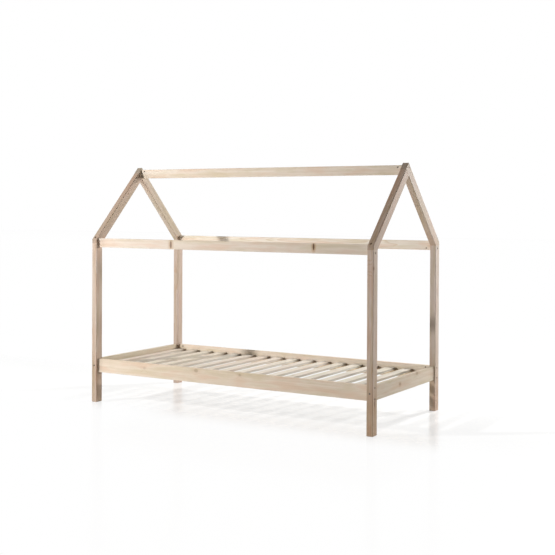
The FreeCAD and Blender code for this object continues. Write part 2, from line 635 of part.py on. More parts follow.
ridge_bolts, ridge_nuts, ridge_dowels, apex_screws, apex_dowels = [], [], [], [], []
for end in (-1, 1):
    seat_x = f"{end} * ({LENGTH} / 2 - {RECESS_DEEP})"
    ridge_bolts.append(((seat_x, 0, RIDGE_BOLT), way(-end * X)))
    nut_x = f"{end} * ({RAIL_LENGTH} / 2 - {RIDGE_SETBACK})"
    ridge_nuts.append(((nut_x, 0, RIDGE_BOLT), facing(180)))
    ridge_dowels.append(((f"{end} * {RAIL_LENGTH} / 2", 0, RIDGE_DOWEL), way(X)))
    gable_x = f"{end} * ({LENGTH} / 2 - {POST_W} / 2)"
    lap_level = f"{SEAM} + {APEX} - 3 * {LAP_DROP} / 2"
    apex_dowels.append(((gable_x, f"-{LAP_RUN} / 2", lap_level), way(UP_SLOPE)))
    seat_y = f"{LAP_RUN} / 2 - {RECESS_DEEP} * cos({PITCH})"
    seat_z = f"{SEAM} + {APEX} - {LAP_DROP} / 2 - {RECESS_DEEP} * sin({PITCH})"
    for sign in "-+":
        apex_screws.append(((f"{gable_x} {sign} {SCREW_OUT}", seat_y, seat_z), way(-UP_SLOPE)))
group("ridge_bolts", ridge_bolt, ridge_bolts)
group("ridge_barrel_nuts", nut, ridge_nuts)
group("ridge_dowels", pin, ridge_dowels)
group("apex_screws", apex_screw, apex_screws)
group("apex_dowels", pin, apex_dowels)

slat_screws, ledger_screws = [], []
for side_y in (-1, 1):
    screw_y = f"{side_y} * ({LEDGER_FACE} - {LEDGER_T} / 2)"
    for middle in SLAT_MIDDLES:
        slat_screws.append(((f"{middle} - {RAIL_LENGTH} / 2", screw_y, SLAT_TOP), way(-Z)))
    inner_y = f"{side_y} * ({LEDGER_FACE} - {LEDGER_T})"
    for middle in LEDGER_SCREWS:
        along = f"{-side_y} * ({middle} - {RAIL_LENGTH} / 2)"
        place = (along, inner_y, f"{LEDGER_BASE} + {LEDGER_H} / 2")
        ledger_screws.append((place, way(side_y * Y)))
group("slat_screws", slat_screw, slat_screws)
group("ledger_screws", ledger_screw, ledger_screws)


# --- Checks and files --------------------------------------------------------------------------------

doc.recompute()
for item in doc.Objects:
    if {"Invalid", "Error"} & set(item.State):
        raise RuntimeError(f"{item.Label} did not rebuild: {item.State}")
os.makedirs("parts", exist_ok=True)
for part in subparts:
    if part.Shape.isNull() or not part.Shape.isValid():
        raise RuntimeError(f"{part.Label} has no valid shape")
for part in subparts:
    part.Shape.exportStep(f"parts/{part.Label}.step")
    print(part.Label, len(part.Shape.Solids), round(part.Shape.Volume))
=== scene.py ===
"""Finishes, light and camera for a house frame bed in bare pine.

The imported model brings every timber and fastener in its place.  Here each timber gets a cut of
sanded pine of its own, laid along its grain, the fasteners get their plating, and a studio with a
pale glossy floor goes round them.  Everything is in metres, in the frame of the model.
"""
from __future__ import annotations

import logging
import math
from dataclasses import dataclass, field
from enum import Enum
from typing import Any, ClassVar, Sequence

import bpy
import numpy as np
from mathutils import Euler, Matrix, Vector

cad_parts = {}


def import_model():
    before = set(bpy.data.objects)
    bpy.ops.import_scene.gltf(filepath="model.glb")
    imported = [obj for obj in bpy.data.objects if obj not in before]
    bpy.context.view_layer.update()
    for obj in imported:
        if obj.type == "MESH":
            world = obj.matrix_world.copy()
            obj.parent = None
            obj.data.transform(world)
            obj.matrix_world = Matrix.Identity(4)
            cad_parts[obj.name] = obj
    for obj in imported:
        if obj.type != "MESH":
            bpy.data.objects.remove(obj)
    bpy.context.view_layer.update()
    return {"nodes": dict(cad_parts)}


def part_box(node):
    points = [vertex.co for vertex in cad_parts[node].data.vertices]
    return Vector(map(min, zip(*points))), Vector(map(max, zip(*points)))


log = logging.getLogger("house_bed")

MM = 0.001
# The photograph's width and height, in pixels.
IMAGE_SIZE = 555

Tree = bpy.types.NodeTree
Socket = bpy.types.NodeSocket
Colour = tuple[float, float, float, float]
Point = tuple[float, float, float]
Pair = tuple[float, float]

WHITE: Colour = (1.0, 1.0, 1.0, 1.0)


# --- Small tools -------------------------------------------------------------------------------------

def linear(code: str) -> Colour:
    """Turns an sRGB hex value into a linear colour.

    Args:
        code: Six hexadecimal digits after a hash, such as "#E8CFA4".

    Returns:
        Red, green and blue from 0 to 1, and an alpha of 1.
    """
    parts = [int(code[i:i + 2], 16) / 255 for i in (1, 3, 5)]
    red, green, blue = (p / 12.92 if p <= 0.04045 else ((p + 0.055) / 1.055) ** 2.4 for p in parts)
    return (red, green, blue, 1.0)


def add(tree: Tree, kind: str, links: dict[Any, Any] | None = None, **settings: Any) -> bpy.types.Node:
    """Adds one shader node.

    Where a socket goes by number, Map Range takes its value and the ends of both ranges as 0 to 4.  Mix
    takes its share and its two colours as 0, 6 and 7 and gives its colour as 2.  Vector Math takes the
    factor of a scaling as 3 and gives a length or a dot product as 1.

    Args:
        tree: The node tree that the node joins.
        kind: The node's type name without its "ShaderNode".
        links: For each input, by name or number, a socket to link from or a plain value.
        **settings: Properties of the node itself.

    Returns:
        The new node.
    """
    node = tree.nodes.new("ShaderNode" + kind)
    for name, value in settings.items():
        setattr(node, name, value)
    for key, value in (links or {}).items():
        if isinstance(value, Socket):
            tree.links.new(value, node.inputs[key])
        else:
            node.inputs[key].default_value = value
    return node


def new_material(name: str) -> tuple[bpy.types.Material, Tree]:
    """Makes an empty node material.

    Args:
        name: The material's name.

    Returns:
        The material and its node tree.
    """
    material = bpy.data.materials.new(name)
    material.use_nodes = True
    material.node_tree.nodes.clear()
    return material, material.node_tree


def ramp(node: bpy.types.Node, stops: Sequence[tuple[float, Colour]]) -> bpy.types.Node:
    """Sets the stops of a colour ramp.

    Args:
        node: A colour ramp node.
        stops: Places from 0 to 1, each with its linear colour.

    Returns:
        The same node.
    """
    elements = node.color_ramp.elements
    while len(elements) < len(stops):
        elements.new(0.5)
    for element, (place, colour) in zip(elements, stops):
        element.position = place
        element.color = colour
    return node


def shown_rays(tree: Tree) -> Socket:
    """Adds the test for rays that show a surface, from the camera, a mirror or glass.

    Args:
        tree: The node tree.

    Returns:
        1 for such a ray and 0 for one that only lights something.
    """
    ray = add(tree, "LightPath")
    shown = add(tree, "Math", {0: ray.outputs["Is Camera Ray"], 1: ray.outputs["Is Glossy Ray"]},
                operation="MAXIMUM")
    shown = add(tree, "Math", {0: shown.outputs[0], 1: ray.outputs["Is Transmission Ray"]},
                operation="MAXIMUM")
    return shown.outputs[0]


# --- Finishes ----------------------------------------------------------------------------------------

class Grain(Enum):
    """Which way a timber's fibres run, as the turn that brings +X onto them, in degrees."""

    ALONG_BED = (0, 0, 0)
    ACROSS_BED = (0, 0, 90)
    UPRIGHT = (0, -90, 0)
    UP_TO_THE_BACK = (0, -45, 90)
    UP_TO_THE_FRONT = (0, -45, -90)


@dataclass(frozen=True)
class Knot:
    """A branch that the saw cut: an ellipsoid in the timber's own frame, in metres.

    A long half-axis across a board lets the knot show on both of its faces.  Dark is how much of its
    tint shows, from 0 to 1.
    """

    place: Point
    reach: Point
    dark: float = 1.0


@dataclass(frozen=True)
class Cut:
    """How one timber was cut from its log.

    The timber's frame has X along the grain, and its origin is the middle of the timber.  Faces that
    look along shaded_faces, a direction in the model's frame, get painted shade, standing in for the
    shade that neighbouring timbers cast on them.  The pith is where the log's middle passed the timber,
    across and up.  The log's place sets its noise apart from that of the other timbers.  The ground is
    the timber's own colour, and the foot is a tint that makes the timber darker and warmer towards the
    floor.
    """

    grain: Grain
    centre: Point
    pith: Pair
    log_place: Point
    ground: str
    knots: tuple[Knot, ...] = ()
    shaded_faces: Point | None = None
    foot: str | None = None


@dataclass(frozen=True)
class SandedPine:
    """Scots pine, planed and sanded and left bare.

    Pale earlywood and narrow amber latewood give the eye its lines, which close into flames where the
    saw ran flat to the rings.  The surface is matt with a faint sheen along the fibres.  The tints here
    are what each kind of wood lets through of its timber's own colour.
    """

    latewood: str = "#EEE2D2"
    band: str = "#F3EDE4"
    rosy: str = "#FBEFE8"
    olive: str = "#F3F2E6"
    heart: str = "#DCC3A8"
    knot: str = "#543B2B"
    # Real rings are 2 to 4 mm wide, half a pixel of the picture: they are drawn at the wide end.
    ring: float = 4.0 * MM
    # Real fibres are a few hundredths of a millimetre: the streaks that they join into are drawn.
    streak: float = 1.4 * MM
    # Bands of paler and darker wood, which is what shows from across a room.
    band_width: float = 14.0 * MM
    # Waves to the metre along the grain, of streaks and of bands.
    streak_waves: float = 6.0
    band_waves: float = 1.3
    # The pith strays this far from a straight line, in these waves to the metre along and across.
    stray: float = 36.0 * MM
    stray_waves: Point = (1.4, 14.0, 14.0)
    # Clouds of rosy and of olive wood, in waves to the metre along and across.
    cloud_waves: Point = (4.0, 24.0, 24.0)
    # How much of their tint the rings and the clouds give.
    tint_share: float = 0.8
    # How far the fibres darken and lighten the wood.
    fibre_light: Pair = (0.93, 1.05)
    fibre_height: float = 0.2 * MM
    roughness: Pair = (0.56, 0.70)
    # What end grain leaves of the colour, and what painted shade leaves of it on the shaded faces.
    end_grain: float = 0.72
    side_shade: float = 0.68
    # That sets in between these cosines of the angle from a face's normal to their direction.
    square_on: Pair = (0.5, 0.95)
    # The heights between which a foot's tint fades out, in metres.
    foot_fade: Pair = (0.16, 0.42)
    # In a knot's own half-axes: where its core fades, where the reddened wood fades, how far rings are
    # pushed aside, and by how much of its least half-axis.
    core_fade: Pair = (0.95, 1.5)
    halo_fade: Pair = (0.3, 1.6)
    push_reach: float = 3.0
    push: float = 2.2
    # How much of their own tint the core and the reddened wood show.
    core_share: float = 0.92
    halo_share: float = 0.9
    # The reddened wood is drawn out along the grain, so the way to the knot counts for less there.
    drawn_out: Point = (0.4, 1.0, 0.6)
    # A core's edge is ragged: by so much of a half-axis, in waves to the metre.
    ragged: float = 0.5
    ragged_waves: float = 160.0

    def material(self, name: str, cut: Cut) -> bpy.types.Material:
        """Builds the wood of one timber.

        Args:
            name: The material's name.
            cut: How the timber was sawn.

        Returns:
            The material.
        """
        material, tree = new_material(name)
        turn = tuple(math.radians(angle) for angle in cut.grain.value)
        place = add(tree, "TexCoord")
        own = add(tree, "Mapping", {"Vector": place.outputs["Object"], "Location": cut.centre,
                                    "Rotation": turn}, vector_type="TEXTURE").outputs[0]
        in_log = add(tree, "VectorMath", {0: own, 1: cut.log_place}, operation="ADD").outputs[0]
        swirl, dark, halo = self._knots(tree, own, cut.knots)
        figure = self._rings(tree, own, in_log, cut.pith, swirl)
        streaks = add(tree, "Mapping", {"Vector": in_log, "Scale": (self.streak_waves, 1 / self.streak,
                                                                    1 / self.streak)})
        fibre = add(tree, "TexNoise", {"Vector": streaks.outputs[0], "Scale": 1.0, "Detail": 3.0,
                                       "Roughness": 0.6}).outputs[0]
        wood = self._clear_wood(tree, figure, fibre, in_log, linear(cut.ground))
        wood = self._end_grain_and_shaded_sides(tree, wood, self._fibre_direction(turn), self.end_grain)
        # Painted shade: the faces that look along this direction are darkened, standing in for the shade
        # of the neighbouring timbers.
        if cut.shaded_faces:
            wood = self._end_grain_and_shaded_sides(tree, wood, cut.shaded_faces, self.side_shade)
        # The foot's tint makes the timber darker and warmer towards the floor.
        if cut.foot:
            height = add(tree, "SeparateXYZ", {0: place.outputs["Object"]}).outputs[2]
            low = add(tree, "MapRange", {0: height, 1: self.foot_fade[0], 2: self.foot_fade[1],
                                         3: 1.0, 4: 0.0})
            wood = add(tree, "Mix", {0: low.outputs[0], 6: wood, 7: linear(cut.foot)},
                       data_type="RGBA", blend_type="MULTIPLY").outputs[2]
        reddened = add(tree, "Mix", {0: halo, 6: wood, 7: linear(self.heart)}, data_type="RGBA",
                       blend_type="MULTIPLY")
        wood = add(tree, "Mix", {0: dark, 6: reddened.outputs[2], 7: linear(self.knot)},
                   data_type="RGBA").outputs[2]
        rough = add(tree, "MapRange", {0: fibre, 3: self.roughness[0], 4: self.roughness[1]})
        bump = add(tree, "Bump", {"Strength": 0.25, "Distance": self.fibre_height, "Height": fibre})
        shader = add(tree, "BsdfPrincipled", {"Base Color": wood, "Roughness": rough.outputs[0],
                                              "Normal": bump.outputs[0], "IOR": 1.5,
                                              "Specular IOR Level": 0.2})
        add(tree, "OutputMaterial", {"Surface": shader.outputs[0]})
        return material

    def _knots(self, tree: Tree, own: Socket, knots: Sequence[Knot]) -> tuple[Socket | float, ...]:
        """Adds the knots: a dark core, reddened wood drawn out along the grain, and pushed rings.

        The distance to a knot is the length of the way to its middle, each part divided by the
        half-axis of the ellipsoid, so that it is 1 on the ellipsoid.

        Args:
            tree: The node tree.
            own: The place in the timber's frame.
            knots: The timber's knots.

        Returns:
            How far the rings are pushed aside, the core's darkness and the reddened wood round it.
        """
        swirl: Socket | float = 0.0
        dark: Socket | float = 0.0
        halo: Socket | float = 0.0
        if not knots:
            return swirl, dark, halo
        wobble = add(tree, "TexNoise", {"Vector": own, "Scale": self.ragged_waves, "Detail": 2.0})
        for knot in knots:
            away = add(tree, "VectorMath", {0: own, 1: knot.place}, operation="SUBTRACT").outputs[0]
            inside = add(tree, "VectorMath", {0: away, 1: tuple(1 / half for half in knot.reach)},
                         operation="MULTIPLY").outputs[0]
            near = add(tree, "VectorMath", {0: inside}, operation="LENGTH").outputs[1]
            uneven = add(tree, "Math", {0: wobble.outputs[0], 1: self.ragged, 2: near},
                         operation="MULTIPLY_ADD").outputs[0]
            core = add(tree, "MapRange", {0: uneven, 1: self.core_fade[0], 2: self.core_fade[1],
                                          3: self.core_share * knot.dark, 4: 0.0},
                       interpolation_type="SMOOTHSTEP").outputs[0]
            long_way = add(tree, "VectorMath", {0: inside, 1: self.drawn_out},
                           operation="MULTIPLY").outputs[0]
            round_it = add(tree, "VectorMath", {0: long_way}, operation="LENGTH").outputs[1]
            around = add(tree, "MapRange", {0: round_it, 1: self.halo_fade[0], 2: self.halo_fade[1],
                                            3: self.halo_share * knot.dark, 4: 0.0},
                         interpolation_type="SMOOTHSTEP").outputs[0]
            pushed = add(tree, "MapRange", {0: round_it, 1: 0.0, 2: self.push_reach,
                                            3: self.push * min(knot.reach), 4: 0.0},
                         interpolation_type="SMOOTHERSTEP").outputs[0]
            dark = add(tree, "Math", {0: core, 1: dark}, operation="MAXIMUM").outputs[0]
            halo = add(tree, "Math", {0: around, 1: halo}, operation="MAXIMUM").outputs[0]
            swirl = add(tree, "Math", {0: pushed, 1: swirl}, operation="ADD").outputs[0]
        return swirl, dark, halo

    def _rings(self, tree: Tree, own: Socket, in_log: Socket, pith: Pair,
               swirl: Socket | float) -> Socket:
        """Adds growth rings: the distance from a pith that strays, in ring widths, as a saw tooth.

        Args:
            tree: The node tree.
            own: The place in the timber's frame.
            in_log: The place in the log, where noise is read.
            pith: Where the log's middle passes the timber, across and up.
            swirl: How far knots push the rings aside, in metres.

        Returns:
            From 0 in a ring's first wood to 1 in its last.
        """
        slow = add(tree, "Mapping", {"Vector": in_log, "Scale": self.stray_waves})
        bend = add(tree, "TexNoise", {"Vector": slow.outputs[0], "Scale": 1.0, "Detail": 2.0,
                                      "Roughness": 0.45})
        parts = add(tree, "SeparateXYZ", {0: own})
        across = add(tree, "Math", {0: parts.outputs[1], 1: pith[0]}, operation="SUBTRACT")
        up = add(tree, "Math", {0: parts.outputs[2], 1: pith[1]}, operation="SUBTRACT")
        flat = add(tree, "CombineXYZ", {0: across.outputs[0], 1: up.outputs[0]})
        radius = add(tree, "VectorMath", {0: flat.outputs[0]}, operation="LENGTH")
        strayed = add(tree, "Math", {0: bend.outputs[0], 1: self.stray, 2: radius.outputs[1]},
                      operation="MULTIPLY_ADD")
        moved = add(tree, "Math", {0: strayed.outputs[0], 1: swirl}, operation="ADD")
        count = add(tree, "Math", {0: moved.outputs[0], 1: self.ring}, operation="DIVIDE")
        return add(tree, "Math", {0: count.outputs[0]}, operation="FRACT").outputs[0]

    def _clear_wood(self, tree: Tree, figure: Socket, fibre: Socket, in_log: Socket,
                    ground: Colour) -> Socket:
        """Tints the timber's own colour by rings, bands, broad clouds and fibres.

        A ring is pale for its first half, darkens to its last wood and ends at a sharp edge.  Noise
        keeps to the middle of 0 to 1, and so do the places at which it is read here.

        Args:
            tree: The node tree.
            figure: The place in a ring, from 0 to 1.
            fibre: Fine noise along the grain.
            in_log: The place in the log, where noise is read.
            ground: The timber's own colour.

        Returns:
            The wood's colour.
        """
        late = linear(self.latewood)
        half = tuple((a + b) / 2 for a, b in zip(WHITE, late))
        rings = ramp(add(tree, "ValToRGB", {0: figure}),
                     ((0.0, WHITE), (0.50, WHITE), (0.72, half), (0.90, late), (0.98, WHITE)))
        ringed = add(tree, "Mix", {0: self.tint_share, 6: ground, 7: rings.outputs[0]},
                     data_type="RGBA", blend_type="MULTIPLY")
        stretched = add(tree, "Mapping", {"Vector": in_log,
                                          "Scale": (self.band_waves, 1 / self.band_width,
                                                    1 / self.band_width)})
        bands = add(tree, "TexNoise", {"Vector": stretched.outputs[0], "Scale": 1.0, "Detail": 2.0,
                                       "Roughness": 0.5})
        broad = add(tree, "MapRange", {0: bands.outputs[0], 1: 0.3, 2: 0.7, 3: 0.0, 4: 1.0})
        banded = add(tree, "Mix", {0: broad.outputs[0], 6: ringed.outputs[2], 7: linear(self.band)},
                     data_type="RGBA", blend_type="MULTIPLY")
        wide = add(tree, "Mapping", {"Vector": in_log, "Scale": self.cloud_waves})
        clouds = add(tree, "TexNoise", {"Vector": wide.outputs[0], "Scale": 1.0, "Detail": 3.0})
        hue = ramp(add(tree, "ValToRGB", {0: clouds.outputs[0]}),
                   ((0.36, linear(self.rosy)), (0.5, WHITE), (0.64, linear(self.olive))))
        clouded = add(tree, "Mix", {0: self.tint_share, 6: banded.outputs[2], 7: hue.outputs[0]},
                      data_type="RGBA", blend_type="MULTIPLY")
        fine = add(tree, "MapRange", {0: fibre, 1: 0.25, 2: 0.75, 3: self.fibre_light[0],
                                      4: self.fibre_light[1]})
        return add(tree, "VectorMath", {0: clouded.outputs[2], 3: fine.outputs[0]},
                   operation="SCALE").outputs[0]

    @staticmethod
    def _fibre_direction(turn: Sequence[float]) -> Point:
        """Gives the way of the fibres in the model's frame from the grain's turn, in radians."""
        return (math.cos(turn[1]) * math.cos(turn[2]), math.cos(turn[1]) * math.sin(turn[2]),
                -math.sin(turn[1]))

    def _end_grain_and_shaded_sides(self, tree: Tree, wood: Socket, direction: Point, share: float) -> Socket:
        """Darkens the faces that look along a direction: end grain, whose cut fibres drink more light,
        and, as painted shade, the sides of the slats.

        Args:
            tree: The node tree.
            wood: The wood's colour.
            direction: The way that the faces look, or its opposite.
            share: How much of the colour is left on them.

        Returns:
            The colour with those faces darkened.
        """
        face = add(tree, "NewGeometry")
        facing = add(tree, "VectorMath", {0: face.outputs["Normal"], 1: direction},
                     operation="DOT_PRODUCT")
        cut_off = add(tree, "Math", {0: facing.outputs[1]}, operation="ABSOLUTE")
        left = add(tree, "MapRange", {0: cut_off.outputs[0], 1: self.square_on[0],
                                      2: self.square_on[1], 3: 1.0, 4: share})
        return add(tree, "VectorMath", {0: wood, 3: left.outputs[0]}, operation="SCALE").outputs[0]


@dataclass(frozen=True)
class PlatedSteel:
    """Cold-formed steel with a zinc skin, coloured a dark brown grey or yellow, and never a mirror."""

    shade: str = "#8C837A"
    shadow: str = "#544C46"
    # Crystals of zinc are under 0.1 mm: the patches of handling marks over them are drawn.
    patch: float = 2.5 * MM
    patch_height: float = 0.05 * MM
    roughness: Pair = (0.24, 0.46)

    def material(self, name: str) -> bpy.types.Material:
        """Builds the plating.

        Args:
            name: The material's name.

        Returns:
            The material.
        """
        material, tree = new_material(name)
        place = add(tree, "TexCoord")
        patches = add(tree, "TexNoise", {"Vector": place.outputs["Object"], "Scale": 1 / self.patch,
                                         "Detail": 3.0})
        colour = add(tree, "Mix", {0: patches.outputs[0], 6: linear(self.shadow),
                                   7: linear(self.shade)}, data_type="RGBA")
        rough = add(tree, "MapRange", {0: patches.outputs[0], 3: self.roughness[0],
                                       4: self.roughness[1]})
        bump = add(tree, "Bump", {"Strength": 0.15, "Distance": self.patch_height,
                                  "Height": patches.outputs[0]})
        shader = add(tree, "BsdfPrincipled", {"Base Color": colour.outputs[2], "Metallic": 1.0,
                                              "Roughness": rough.outputs[0],
                                              "Normal": bump.outputs[0]})
        add(tree, "OutputMaterial", {"Surface": shader.outputs[0]})
        return material


@dataclass(frozen=True)
class TurnedBeech:
    """Beech dowel, turned and fluted: pinkish brown with short dark flecks of its rays."""

    ground: str = "#C79B72"
    fleck: str = "#9A6B45"
    # Rays are 1 to 4 mm long and a few tenths wide.
    ray: float = 2.5 * MM
    ray_height: float = 0.1 * MM
    # Where a ray's fleck fades into the wood, as a part of its length, and how much of it shows.
    fleck_fade: Pair = (0.1, 0.35)
    fleck_share: float = 0.7
    roughness: float = 0.55

    def material(self, name: str) -> bpy.types.Material:
        """Builds the beech.

        Args:
            name: The material's name.

        Returns:
            The material.
        """
        material, tree = new_material(name)
        place = add(tree, "TexCoord")
        rays = add(tree, "TexVoronoi", {"Vector": place.outputs["Object"], "Scale": 1 / self.ray})
        share = add(tree, "MapRange", {0: rays.outputs[0], 1: self.fleck_fade[0],
                                       2: self.fleck_fade[1], 3: self.fleck_share, 4: 0.0})
        colour = add(tree, "Mix", {0: share.outputs[0], 6: linear(self.ground), 7: linear(self.fleck)},
                     data_type="RGBA")
        bump = add(tree, "Bump", {"Strength": 0.2, "Distance": self.ray_height,
                                  "Height": rays.outputs[0]})
        shader = add(tree, "BsdfPrincipled", {"Base Color": colour.outputs[2],
                                              "Roughness": self.roughness,
                                              "Normal": bump.outputs[0]})
        add(tree, "OutputMaterial", {"Surface": shader.outputs[0]})
        return material


@dataclass(frozen=True)
class GlossyFloor:
    """White lacquered studio floor: it shows white, holds a soft shadow and mirrors what stands on it.

    What shows white is mixed with the lit paint, so that shadows stay as faint as in a light tent.  In
    front of the bed, behind it and further out the floor shows nothing but white.  Its polish wears off
    towards the front.
    """

    paint: str = "#FAFAF9"
    # How much of the floor shows white among the shadows; the rest is lit paint.
    white_share: float = 0.62
    # The shadows lie about a line along the bed, this far behind its middle.
    shadow_line: float = 0.15
    # How far from that line, and how far from the bed's middle, they fade into white.
    line_fade: Pair = (0.20, 0.75)
    middle_fade: Pair = (2.0, 4.5)
    # How much of the light the polish mirrors, at the front and at the back of its worn strip.
    mirror: Pair = (0.03, 0.26)
    worn: Pair = (-0.75, -0.35)
    mirror_roughness: float = 0.17

    def material(self, name: str) -> bpy.types.Material:
        """Builds the floor.

        Args:
            name: The material's name.

        Returns:
            The material.
        """
        material, tree = new_material(name)
        place = add(tree, "TexCoord").outputs["Object"]
        reach = add(tree, "VectorMath", {0: place}, operation="LENGTH")
        parts = add(tree, "SeparateXYZ", {0: place})
        around = add(tree, "MapRange", {0: reach.outputs[1], 1: self.middle_fade[0],
                                        2: self.middle_fade[1], 3: self.white_share, 4: 1.0})
        across = add(tree, "Math", {0: parts.outputs[1], 1: self.shadow_line}, operation="SUBTRACT")
        aside = add(tree, "Math", {0: across.outputs[0]}, operation="ABSOLUTE")
        beside = add(tree, "MapRange", {0: aside.outputs[0], 1: self.line_fade[0],
                                        2: self.line_fade[1], 3: self.white_share, 4: 1.0})
        pale = add(tree, "Math", {0: around.outputs[0], 1: beside.outputs[0]}, operation="MAXIMUM")
        share = add(tree, "Math", {0: shown_rays(tree), 1: pale.outputs[0]}, operation="MULTIPLY")
        paint = add(tree, "BsdfDiffuse", {"Color": linear(self.paint)})
        white = add(tree, "Emission", {"Color": WHITE, "Strength": 1.0})
        shown = add(tree, "MixShader", {0: share.outputs[0], 1: paint.outputs[0], 2: white.outputs[0]})
        polish = add(tree, "MapRange", {0: parts.outputs[1], 1: self.worn[0], 2: self.worn[1],
                                        3: self.mirror[0], 4: self.mirror[1]},
                     interpolation_type="SMOOTHSTEP")
        gloss = add(tree, "BsdfGlossy", {"Color": WHITE, "Roughness": self.mirror_roughness})
        both = add(tree, "MixShader", {0: polish.outputs[0], 1: shown.outputs[0], 2: gloss.outputs[0]})
        add(tree, "OutputMaterial", {"Surface": both.outputs[0]})
        return material


# --- The bed's sub-assemblies ------------------------------------------------------------------------

def middle_of(node: str) -> Point:
    """Gives the middle of a timber's box in the frame of the model."""
    low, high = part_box(node)
    return tuple((a + b) / 2 for a, b in zip(low, high))


@dataclass
class SubAssembly:
    """Timbers that share a finish, each with a cut and a colour of its own."""

    # In metres: how far from a timber's middle its log's pith ran, and where logs are read in the noise.
    pith_reach: ClassVar[Pair] = (0.05, 0.11)
    log_range: ClassVar[Pair] = (-8.0, 8.0)

    nodes: dict[str, bpy.types.Object]
    pine: SandedPine = field(default_factory=SandedPine)
    colours: dict[str, str] = field(default_factory=dict)
    knots: dict[str, tuple[Knot, ...]] = field(default_factory=dict)
    feet: dict[str, str] = field(default_factory=dict)
    # Painted shade falls on the faces that look along this direction, if one is given.
    shaded_faces: Point | None = None

    def dress(self, node: str, grain: Grain) -> None:
        """Gives one timber its wood.

        Args:
            node: The timber.
            grain: Which way its fibres run.
        """
        chance = np.random.default_rng(sum(ord(letter) * (i + 1) for i, letter in enumerate(node)))
        angle, reach = chance.uniform(0, 2 * math.pi), chance.uniform(*self.pith_reach)
        log_place = tuple(float(value) for value in chance.uniform(*self.log_range, 3))
        cut = Cut(grain, middle_of(node), (reach * math.cos(angle), reach * math.sin(angle)), log_place,
                  self.colours[node], self.knots.get(node, ()), self.shaded_faces,
                  self.feet.get(node))
        self.nodes[node].data.materials.clear()
        self.nodes[node].data.materials.append(self.pine.material(f"pine_{node}", cut))
        log.info("%s: pine %s, grain %s, %d knots", node, cut.ground, grain.name, len(cut.knots))


@dataclass
class Frame(SubAssembly):
    """Posts and the boards bolted between them."""

    colours: dict[str, str] = field(default_factory=lambda: {
        "post_front_left": "#B9A99C", "post_front_right": "#BEADA1",
        "post_back_left": "#B5A49A", "post_back_right": "#BFB3AB",
        "side_rail_front": "#DCCFC0", "side_rail_back": "#E6DCD0",
        "end_rail_left": "#CBC1B0", "end_rail_right": "#C6BBAC",
        "eave_rail_front": "#D8CDC2", "eave_rail_back": "#E2D9CE"})
    # Tints that make these posts darker and warmer towards the floor.
    feet: dict[str, str] = field(default_factory=lambda: {
        "post_front_left": "#F7F3F0", "post_front_right": "#ECE3D2", "post_back_right": "#F7EFE6"})
    knots: dict[str, tuple[Knot, ...]] = field(default_factory=lambda: {
        "eave_rail_front": (Knot((-0.401, 0.0, 0.000), (0.0080, 0.06, 0.024), 0.70),
                            Knot((0.6415, 0.0, 0.010), (0.0060, 0.06, 0.020))),
        "side_rail_front": (Knot((-0.200, 0.0, 0.030), (0.0150, 0.06, 0.011), 0.32),
                            Knot((0.127, 0.0, 0.030), (0.0100, 0.06, 0.008), 0.25),
                            Knot((-0.610, 0.0, 0.012), (0.0110, 0.06, 0.008), 0.18)),
        "end_rail_right": (Knot((-0.095, 0.0, 0.003), (0.0090, 0.06, 0.009), 0.50),
                           Knot((0.162, 0.0, 0.036), (0.0200, 0.06, 0.011), 0.35)),
        "post_front_right": (Knot((-0.349, -0.0015, 0.0), (0.0240, 0.0045, 0.06), 0.95),
                             Knot((0.4287, -0.0214, 0.0), (0.0100, 0.0060, 0.06), 0.70)),
        "post_back_right": (Knot((0.234, -0.005, 0.0), (0.0300, 0.0045, 0.06), 0.50),)})

    def build(self) -> None:
        """Dresses posts, side rails, end rails and eave rails."""
        for end in ("front", "back"):
            for side in ("left", "right"):
                self.dress(f"post_{end}_{side}", Grain.UPRIGHT)
            self.dress(f"side_rail_{end}", Grain.ALONG_BED)
            self.dress(f"eave_rail_{end}", Grain.ALONG_BED)
        for side in ("left", "right"):
            self.dress(f"end_rail_{side}", Grain.ACROSS_BED)


@dataclass
class Roof(SubAssembly):
    """Rafters and ridge board."""

    colours: dict[str, str] = field(default_factory=lambda: {
        "rafter_left_front": "#B09E8F", "rafter_left_back": "#BBAFA2",
        "rafter_right_front": "#B39F8F", "rafter_right_back": "#BAAB9E",
        "ridge_board": "#D7CCBF"})
    knots: dict[str, tuple[Knot, ...]] = field(default_factory=lambda: {
        "rafter_left_front": (Knot((0.130, -0.02, 0.004), (0.0060, 0.06, 0.0045), 0.60),)})

    def build(self) -> None:
        """Dresses the four rafters and the ridge board."""
        for side in ("left", "right"):
            self.dress(f"rafter_{side}_front", Grain.UP_TO_THE_BACK)
            self.dress(f"rafter_{side}_back", Grain.UP_TO_THE_FRONT)
        self.dress("ridge_board", Grain.ALONG_BED)


